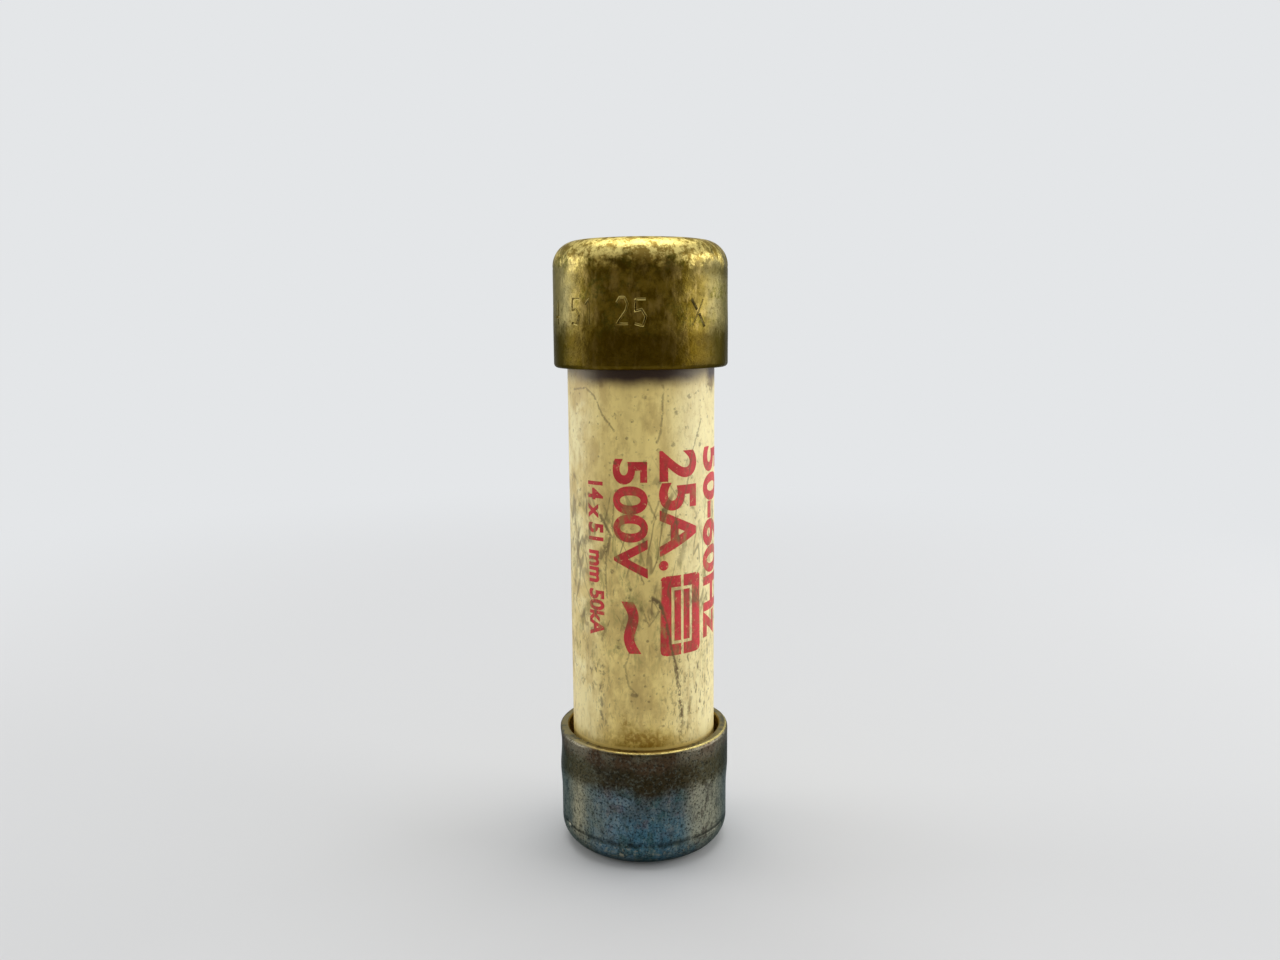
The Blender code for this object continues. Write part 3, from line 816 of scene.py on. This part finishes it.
def capProfile(spec, radius, length):
    # from the middle of the end face, over the corner, down the side, round the mouth and back inside
    corner, wall, edge, innerEdge = cap["corner"], cap["wall"], cap["edge"], cap["innerEdge"]
    flat = radius - corner
    bore = radius - wall
    points = [(0, 0)]
    for share in cap["faceRings"]:
        points.append((flat * share, 0))
    points += arcPoints(flat, corner, corner, -90, 0, cap["cornerSteps"])
    for share, depth in ((0.25, 0.5), (0.5, 1.0), (0.75, 0.5)):
        points.append((radius - spec["grooveDepth"] * depth, corner + cap["grooveWidth"] * share))
    points += capSide(radius, spec["flare"], corner + cap["grooveWidth"], length - edge)
    mouth = radius + spec["flare"] - edge
    points += arcPoints(mouth, length - edge, edge, 0, 90, cap["edgeSteps"])[1:]
    points.append(((mouth + bore + innerEdge) / 2, length))
    points += [(bore + innerEdge, length), (bore, length - innerEdge)]
    points += list(reversed(capSide(bore, 0, corner, length - innerEdge)))[1:]
    inside = corner - wall
    points += arcPoints(bore - inside, wall + inside, inside, 0, -90, cap["innerSteps"])[1:]
    points.append((0, wall))
    return points


def makeCap(spec, material):
    low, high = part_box(spec["node"])
    length = (high.z - low.z) / mm
    radius = capRadius(spec)
    isUpper = low.z > length * mm
    points = []
    for across, down in capProfile(spec, radius, length):
        points.append((across, high.z / mm - down if isUpper else low.z / mm + down))
    obj = spinProfile(spec["name"], points, cap["steps"])
    roughen(obj, *cap["swell"])
    for angle, height, size, depth in spec["dents"]:
        dentIn(obj, angle, height, size, depth)
    smoothShading(obj, cap["smoothAngle"])
    obj.data.materials.append(material)
    keepPiece(obj, spec["slot"], spec["node"])
    return obj


def punchStrokes(sign, place, size):
    # the strokes of one punch as round bars, to be taken out of the cap
    bars = []
    for stroke in stamping["punches"][sign]:
        points = [(place[0] + x * size[0], place[1] + z * size[1]) for x, z in stroke]
        bar = drawLine("punch_" + sign, points)
        bpy.ops.mesh.subdivide(number_cuts=stamping["cuts"])
        leaveEdit()
        bars.append(bar)
    return bars


def stampCap(obj):
    radius = capRadius(upperCap)
    bars = []
    for number, sign in enumerate(stamping["figures"]):
        if sign != " ":
            across = stamping["start"] + stamping["pitch"] * number
            up = stamping["low"] + stamping["unevenness"] * math.sin(number * stamping["unevenStep"])
            bars += punchStrokes(sign, (across, up), stamping["size"])
    bars += punchStrokes("x", stamping["cross"][:2], stamping["cross"][2:])
    startPiece()
    for bar in bars:
        bar.select_set(True)
    punch = bars[0]
    bpy.context.view_layer.objects.active = punch
    bpy.ops.object.join()
    reach = radius + stamping["stroke"] - stamping["depth"]
    for vertex in punch.data.vertices:
        angle = vertex.co.x / (radius * mm)
        vertex.co.x = reach * mm * math.sin(angle)
        vertex.co.y = -reach * mm * math.cos(angle)
    bpy.ops.object.convert(target="CURVE")
    punch = bpy.context.active_object
    punch.data.bevel_depth = stamping["stroke"] * mm
    punch.data.bevel_resolution = 1
    punch.data.use_fill_caps = True
    crossStart = radius * mm * math.sin((stamping["cross"][0] - stamping["stroke"] * 2) / radius)
    for spline in punch.data.splines:
        falls = spline.points[0].co.x < spline.points[-1].co.x
        for point in spline.points:
            if point.co.x > crossStart:
                point.radius = stamping["crossWeights"][0 if falls else 1]
    bpy.ops.object.convert(target="MESH")
    punch = bpy.context.active_object
    applyModifier(obj, "BOOLEAN", operation="DIFFERENCE", object=punch, solver="EXACT", use_self=True)
    bpy.data.objects.remove(punch)
    smoothShading(obj, cap["smoothAngle"])


def upperCapMaterial(spec):
    material, shader, wire = newMaterial("brass_aged")
    spot = wire.point()
    across = spot.axis("X")
    down = cadHigh.z / mm - spot.axis("Z")
    radius = spot.stretched(1.0, 0.0).length()
    sunk = capRadius(spec) - radius
    broad = spot.noise(0.4, 3.0, 0.6)
    blotch = spot.shifted((2.0, 6.0, 1.0)).noise(0.9, 4.0, 0.65)
    fine = spot.noise(3.2, 4.0, 0.7)
    streaks = spot.stretched(1.4, 0.6).noise(0.9, 4.0, 0.6)
    forward = spot.axis("Y") * -0.14 + (broad - 0.5) * 0.4
    front = forward.fade(0.5, 0.9)
    colour = wire.blend(blotch.fade(0.38, 0.62), spec["olive"], spec["deepOlive"])
    colour = colour.coat(streaks.fade(0.48, 0.66) * 0.65, spec["pale"])
    # painted shade: away from the front the cap is greyed and darkened
    colour = colour.coat((1 - front) * 0.7, spec["grey"])
    colour = colour.coat(broad.fade(0.5, 0.66) * fine.fade(0.4, 0.6) * 0.6, spec["green"])
    # tarnish bands, made darker at the sides and to the right as painted shade
    belt = (down + (blotch - 0.5) * 1.6).band(2.1, 3.0, 0.4)
    belt = belt * (blotch + across * 0.025).fade(0.4, 0.56)
    colour = colour.coat(belt * (0.6 - front * 0.3), spec["sideBrown"])
    mouthBand = (down + (blotch - 0.5) * 2.4).fade(5.9, 7.8)
    brown = wire.blend(front, spec["sideBrown"], spec["brown"])
    colour = colour.coat(mouthBand * (0.92 - front * 0.2), brown)
    colour = colour.coat(fine.fade(0.5, 0.7) * (0.55 - front * 0.19), spec["speck"])

    # bright metal where the top edge has been rubbed, with what is left of the tarnish on it; it is cut
    # back at the sides and to the right as painted shade, and kept brighter on the left as painted light
    wornDepth = down + (broad - 0.5) * 2.4 + (blotch - 0.5) * 3.2 + (fine - 0.5) * 1.4
    rightward = across.fade(2.6, 5.4)
    worn = (wornDepth + (1 - front) * 0.3 + rightward * 0.35).fade(2.5, 1.2)
    dull = spot.shifted((0.0, 3.0, 8.0)).noise(1.1, 5.0, 0.72)
    leftward = across.fade(-1.6, -4.0) * front
    middle = across.band(0.0, 1.6, 0.8) * front
    dull = dull + (1 - front) * 0.02 + rightward * 0.02 + middle * 0.035 - leftward * 0.06
    dull = dull.fade(0.45, 0.58) * down.fade(-1.8, 0.3)
    endFace = radius.fade(5.6, 4.4) * down.fade(0.6, 0.3)
    rings = wire.add("CombineXYZ", None, {0: radius, 1: 0.0, 2: 0.0}).noise(4.0, 3.0, 0.7)
    face = wire.blend(rings.fade(0.4, 0.6) * 0.5, spec["face"], spec["faceShade"])
    gold = wire.blend(endFace * 0.9, spec["worn"], face)
    gold = gold.coat(dull * (0.9 - endFace * 0.4), spec["wornShade"])
    gold = gold.coat(fine.fade(0.52, 0.7) * 0.5, spec["olive"])
    colour = colour.coat(worn, gold)

    # the struck signs: dark at the bottom, rubbed bright along their edges, partly as painted highlight,
    # and painted highlight where their walls face up
    struck = down.band(*stamping["belt"], 0.2) * sunk.fade(0.25, 0.15)
    colour = colour.coat(struck * sunk.fade(0.02, 0.04) * 0.8, spec["worn"])
    grime = sunk.fade(0.045, 0.065) * (blotch.fade(0.35, 0.6) * 0.5 + 0.4)
    colour = colour.coat(struck * grime, spec["speck"])
    faceUp = wire.add("TexCoord", out="Normal").axis("Z")
    colour = colour.coat(struck * faceUp.fade(0.2, 0.5) * 0.85, spec["worn"])
    roughness = fine.between(*spec["roughness"]) - worn * 0.02
    grain = wire.bump(fine + streaks * 0.8, spec["grainDepth"])
    feed(wire, shader, BaseColor=colour, Metallic=1.0, Roughness=roughness,
         SpecularTint=spec["edgeTint"], Normal=wire.bump(blotch, spec["pitDepth"], grain))
    return material


def lowerCapMaterial(spec):
    material, shader, wire = newMaterial("plating_tarnished")
    spot = wire.point()
    across, up = spot.axis("X"), spot.axis("Z")
    radius = spot.stretched(1.0, 0.0).length()
    broad = spot.shifted((4.0, 1.0, 3.0)).noise(0.35, 3.0, 0.6)
    blotch = spot.noise(1.2, 4.0, 0.7)
    fine = spot.noise(5.5, 4.0, 0.75)
    forward = spot.axis("Y") * -0.14 + (broad - 0.5) * 0.5 + (blotch - 0.5) * 0.3
    front = forward.fade(0.66, 1.02)
    tint = spot.shifted((2.0, 8.0, 1.0)).noise(0.55, 3.0, 0.6)
    streaks = spot.stretched(1.5, 0.6).noise(1.4, 4.0, 0.65)
    # painted reflection: the front is bluer and darker, bluer still low down and paler on the left, for
    # a blue floor mirrored there; teal and violet tints lie over it, and the sides keep the warm grey
    cool = wire.blend((up + (broad - 0.5) * 2.0).fade(5.6, 3.4), spec["front"], spec["blue"])
    leftward = (across + (broad - 0.5) * 4.0).fade(-0.6, -2.0)
    cool = cool.coat(leftward * 0.6, spec["pale"])
    cool = cool.coat(tint.fade(0.47, 0.4) * 0.7, spec["teal"])
    cool = cool.coat(tint.fade(0.54, 0.62) * up.fade(1.5, 5.0) * 0.7, spec["violet"])
    colour = wire.blend(front, spec["side"], cool)
    # painted highlights: warm upright bands on both flanks, on the front half above the foot
    sideways = across + blotch - 0.5
    flank = sideways.band(-6.0, -5.1, 0.5) * 0.85 + sideways.band(3.5, 6.4, 0.7) * 0.46
    flank = flank * forward.fade(0.2, 0.4) * up.fade(1.2, 2.6)
    colour = colour.coat(flank, spec["warm"])
    rusty = sideways.band(4.2, 5.6, 0.5) * streaks.fade(0.5, 0.6)
    colour = colour.coat(rusty * forward.fade(0.3, 0.5) * 0.5, spec["rust"])
    colour = colour.coat(streaks.fade(0.48, 0.62) * 0.42, spec["shade"])
    colour = colour.coat(streaks.fade(0.46, 0.36) * 0.14, spec["glint"])
    dots = spot.flecks(1.7, 0.6, 0.3) * blotch.fade(0.35, 0.55)
    colour = colour.coat(dots * 0.6, spec["speck"])
    colour = colour.coat(fine.fade(0.46, 0.38) * 0.14, spec["glint"])

    # a dark band left by heat, darker and reaching lower in front as painted shade, and above it a worn
    # one up to the mouth
    heatAndShade = up + (blotch - 0.5) * 1.6 + fine - 0.5 + broad - 0.5
    heatAndShade = heatAndShade + across.band(-0.7, 1.7, 0.5) * front * 0.5
    band = wire.blend(front.fade(0.2, 0.9), spec["darkBandSide"], spec["darkBand"])
    colour = colour.coat(heatAndShade.fade(6.0, 7.3) * 0.92, band)
    rim = wire.blend(broad.fade(0.45, 0.6), spec["rimGrey"], spec["rust"])
    rim = rim.coat(front * 0.5, spec["darkBand"])
    colour = colour.coat(heatAndShade.fade(8.4, 9.4) * 0.85, rim)
    mottle = spot.shifted((9.0, 0.0, 4.0)).noise(3.0, 4.0, 0.75) + (heatAndShade.fade(8.0, 6.0) - 1) * 0.02
    colour = colour.coat(mottle.fade(0.48, 0.34) * heatAndShade.fade(5.6, 6.6) * 0.3, spec["side"])
    colour = colour.coat(fine.fade(0.51, 0.6) * 0.75, spec["speck"])
    aboveCorner = up - cap["corner"]
    groove = (aboveCorner + (blotch - 0.5) * 0.3).band(-0.05, cap["grooveWidth"] + 0.1, 0.16)
    colour = colour.coat(groove * blotch.fade(0.3, 0.5) * 0.6, spec["speck"])
    flakes = spot.noise(3.4, 3.0, 0.7).fade(0.54, 0.62) * aboveCorner.fade(0.0, -0.2)
    colour = colour.coat(flakes * 0.45, spec["glint"])
    reach = capRadius(spec) - 0.15  # the nicks are balls of colour just under the surface
    for angle, height, size in spec["nicks"]:
        turn = math.radians(angle)
        place = (-reach * math.sin(turn), reach * math.cos(turn), -height)
        nickAndGlint = (spot.shifted(place).length() + (fine - 0.5) * 0.3).fade(size, size * 0.5)
        colour = colour.coat(nickAndGlint * 0.85, spec["glint"])

    # bare brass on the face of the mouth, bright at its outer edge, and inside
    fromEdge = capRadius(spec) + spec["flare"] - radius
    onRim = up.fade(lowerMouth - 0.27, lowerMouth - 0.15) * fromEdge.fade(0.07, 0.15)
    rimBrass = wire.blend(blotch.fade(0.5, 0.62), spec["brass"], spec["dullBrass"])
    rimBrass = rimBrass.coat((1 - front) * 0.4, spec["side"])
    colour = colour.coat(onRim, rimBrass)
    edgeWear = (blotch + forward * 0.3 + across * 0.04).fade(0.68, 0.86)
    brightEdge = onRim * fromEdge.fade(0.26, 0.2) * edgeWear * fine.fade(0.62, 0.5)
    colour = colour.coat(brightEdge * 0.9, spec["brightBrass"])
    fromBore = radius - (capRadius(spec) - cap["wall"])
    inside = fromBore.fade(0.12, 0.04) * aboveCorner.fade(0.3, 0.6)
    colour = colour.coat(inside, spec["brass"])
    grain = wire.bump(fine, spec["grainDepth"])
    feed(wire, shader, BaseColor=colour, Metallic=1.0, Roughness=fine.between(*spec["roughness"]),
         SpecularTint=spec["edgeTint"], Normal=wire.bump(blotch, spec["pitDepth"], grain))
    return material


makeCap(lowerCap, lowerCapMaterial(lowerCap))
stampCap(makeCap(upperCap, upperCapMaterial(upperCap)))
print("caps made")


# light and dark colours, the range of roughness, and the grain's scale and depth
inner = {
    "brass": {
        "nodes": ["lower_inner_cap", "upper_inner_cap"],
        **paints(light=(214, 178, 104), dark=(166, 130, 66)),
        "metallic": 1.0,
        "roughness": (0.28, 0.46),
        "grain": (3.0, 0.008),
    },
    "silver": {
        "nodes": ["fuse_element_1", "fuse_element_2", "fuse_element_3"],
        **paints(light=(240, 239, 234), dark=(196, 194, 186)),
        "metallic": 1.0,
        "roughness": (0.18, 0.34),
        "grain": (5.0, 0.004),
    },
    "sand": {
        "nodes": ["quartz_sand_filler"],
        **paints(light=(226, 218, 202), dark=(160, 148, 126)),
        "metallic": 0.0,
        "roughness": (0.8, 0.98),
        "grain": (6.0, 0.08),
    },
    "fibre": {
        "nodes": ["lower_end_disc", "upper_end_disc"],
        **paints(light=(204, 194, 170), dark=(158, 146, 120)),
        "metallic": 0.0,
        "roughness": (0.75, 0.9),
        "grain": (4.0, 0.03),
    },
    "silicone": {
        "nodes": ["fill_hole_plug"],
        **paints(light=(196, 84, 62), dark=(164, 60, 44)),
        "metallic": 0.0,
        "roughness": (0.5, 0.64),
        "grain": (2.0, 0.006),
    },
}


def innerMaterial(name, spec):
    material, shader, wire = newMaterial(name)
    spot = wire.point()
    cloudy = spot.noise(spec["grain"][0] * 0.25, 4.0, 0.6)
    fine = spot.noise(spec["grain"][0], 3.0, 0.6)
    colour = wire.blend(cloudy.fade(0.35, 0.65), spec["light"], spec["dark"])
    colour = colour.coat(fine.fade(0.5, 0.75) * 0.5, spec["dark"])
    feed(wire, shader, BaseColor=colour, Metallic=spec["metallic"],
         Roughness=fine.between(*spec["roughness"]), Normal=wire.bump(fine, spec["grain"][1]))
    return material


for name, spec in inner.items():
    material = innerMaterial("inner_" + name, spec)
    for node in spec["nodes"]:
        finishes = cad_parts[node].data.materials
        finishes.clear()
        finishes.append(material)
print("inner pieces finished")


studio = {
    "floorColour": linear(216, 217, 218),
    "floorSize": 6.0,
    "background": linear(228, 230, 232),
    "fadeStart": 0.07,  # from here outwards the floor turns into the background, in metres
    "fadeEnd": 0.2,
    "ambient": 0.42,
}
softboxes = [
    # turn is to the right of the front and rise up from the floor, in degrees; away and size are
    # in metres; glow is the brightness of the face
    {"name": "key_softbox", "turn": 180, "rise": 76, "away": 0.5, "size": (0.46, 0.4), "glow": 2.45},
    {"name": "left_softbox", "turn": -100, "rise": 11, "away": 0.32, "size": (0.15, 0.16), "glow": 3.75},
    {"name": "right_softbox", "turn": 94, "rise": 12, "away": 0.32, "size": (0.34, 0.2), "glow": 2.9},
]
darkCard = {
    # a dull card that stands in front, out of view
    "radius": 0.17,
    "height": 0.15,
    "turn": -8,
    "halfTurn": 72,
    "faces": 64,
    "colour": linear(138, 126, 86),
}
cameraSpec = {
    "distance": 87.4,  # from the fuse's axis; this and the next two are in millimetres
    "height": 44.4,
    "aside": -0.15,
    "lens": 29.5,
    "sensor": 36,
    "sees": (0.001, 100),  # nearest and farthest, in metres
    "downwards": 8.5,
    "roll": -0.46,
}


def seenByEye(wire):
    # 1 for what the camera sees, straight or in a reflection
    path = wire.add("LightPath", out="Is Camera Ray")
    return path.most(path.other("Is Glossy Ray")).most(path.other("Is Transmission Ray"))


def makeFloor():
    startPiece()
    bpy.ops.mesh.primitive_plane_add(size=studio["floorSize"], location=(0, 0, cadLow.z))
    floor = bpy.context.active_object
    floor.name = "floor"
    material, shader, wire = newMaterial("floor_pale")
    feed(wire, shader, BaseColor=studio["floorColour"], Roughness=0.8, SpecularIORLevel=0.2)
    far = wire.point().length().fade(studio["fadeStart"] / mm, studio["fadeEnd"] / mm) * seenByEye(wire)
    glow = wire.add("Emission", None, {"Color": studio["background"], "Strength": 1.0})
    near = Wire(wire.tree, shader.outputs["BSDF"])
    both = wire.add("MixShader", None, {0: far, 1: near, 2: glow})
    wire.tree.links.new(both.socket, wire.tree.nodes["Material Output"].inputs["Surface"])
    floor.data.materials.append(material)


def makeDarkCard():
    startPiece()
    bpy.ops.mesh.primitive_cylinder_add(vertices=darkCard["faces"], radius=darkCard["radius"],
                                        depth=darkCard["height"], end_fill_type="NOTHING",
                                        location=(0, 0, cadLow.z + darkCard["height"] / 2))
    card = bpy.context.active_object
    card.name = "dark_card"
    bpy.ops.object.mode_set(mode="EDIT")
    reach = darkCard["radius"] * math.cos(math.radians(darkCard["halfTurn"]))
    selectOnly(card, "VERT", lambda co: co.y > -reach)
    bpy.ops.mesh.delete(type="VERT")
    leaveEdit()
    material, shader, wire = newMaterial("card_dull")
    feed(wire, shader, BaseColor=darkCard["colour"], Roughness=0.9)
    card.data.materials.append(material)
    card.rotation_euler.z = math.radians(darkCard["turn"])
    card.visible_camera = False
    card.visible_diffuse = False
    card.visible_shadow = False


def makeLights():
    middle = Vector((0, 0, (cadLow.z + cadHigh.z) / 2))
    for spec in softboxes:
        startPiece()
        turn, rise = math.radians(spec["turn"]), math.radians(spec["rise"])
        level = math.cos(rise)
        towards = Vector((math.sin(turn) * level, -math.cos(turn) * level, math.sin(rise)))
        bpy.ops.object.light_add(type="AREA", location=middle + towards * spec["away"])
        lamp = bpy.context.active_object
        lamp.name = spec["name"]
        lamp.data.shape = "RECTANGLE"
        lamp.data.size, lamp.data.size_y = spec["size"]
        lamp.data.energy = spec["glow"] * math.pi * spec["size"][0] * spec["size"][1]
        lamp.visible_camera = False
        lamp.rotation_euler = (-towards).to_track_quat("-Z", "Y").to_euler()


def makeWorld():
    world = bpy.data.worlds.new("studio")
    bpy.context.scene.world = world
    world.use_nodes = True
    wire = Wire(world.node_tree)
    level = studio["ambient"]
    colour = wire.blend(seenByEye(wire), (level, level, level, 1.0), studio["background"])
    world.node_tree.links.new(colour.socket, world.node_tree.nodes["Background"].inputs["Color"])


def makeCamera():
    startPiece()
    bpy.ops.object.camera_add()
    camera = bpy.context.active_object
    camera.name = "camera"
    camera.data.lens = cameraSpec["lens"]
    camera.data.sensor_width = cameraSpec["sensor"]
    camera.data.clip_start, camera.data.clip_end = cameraSpec["sees"]
    place = (cameraSpec["aside"] * mm, -cameraSpec["distance"] * mm, cameraSpec["height"] * mm)
    tilt = Matrix.Rotation(math.radians(90 - cameraSpec["downwards"]), 4, "X")
    roll = Matrix.Rotation(math.radians(cameraSpec["roll"]), 4, "Z")
    camera.matrix_world = Matrix.Translation(place) @ tilt @ roll
    bpy.context.scene.camera = camera


makeFloor()
makeDarkCard()
makeLights()
makeWorld()
makeCamera()
print("stage, lights and camera placed")
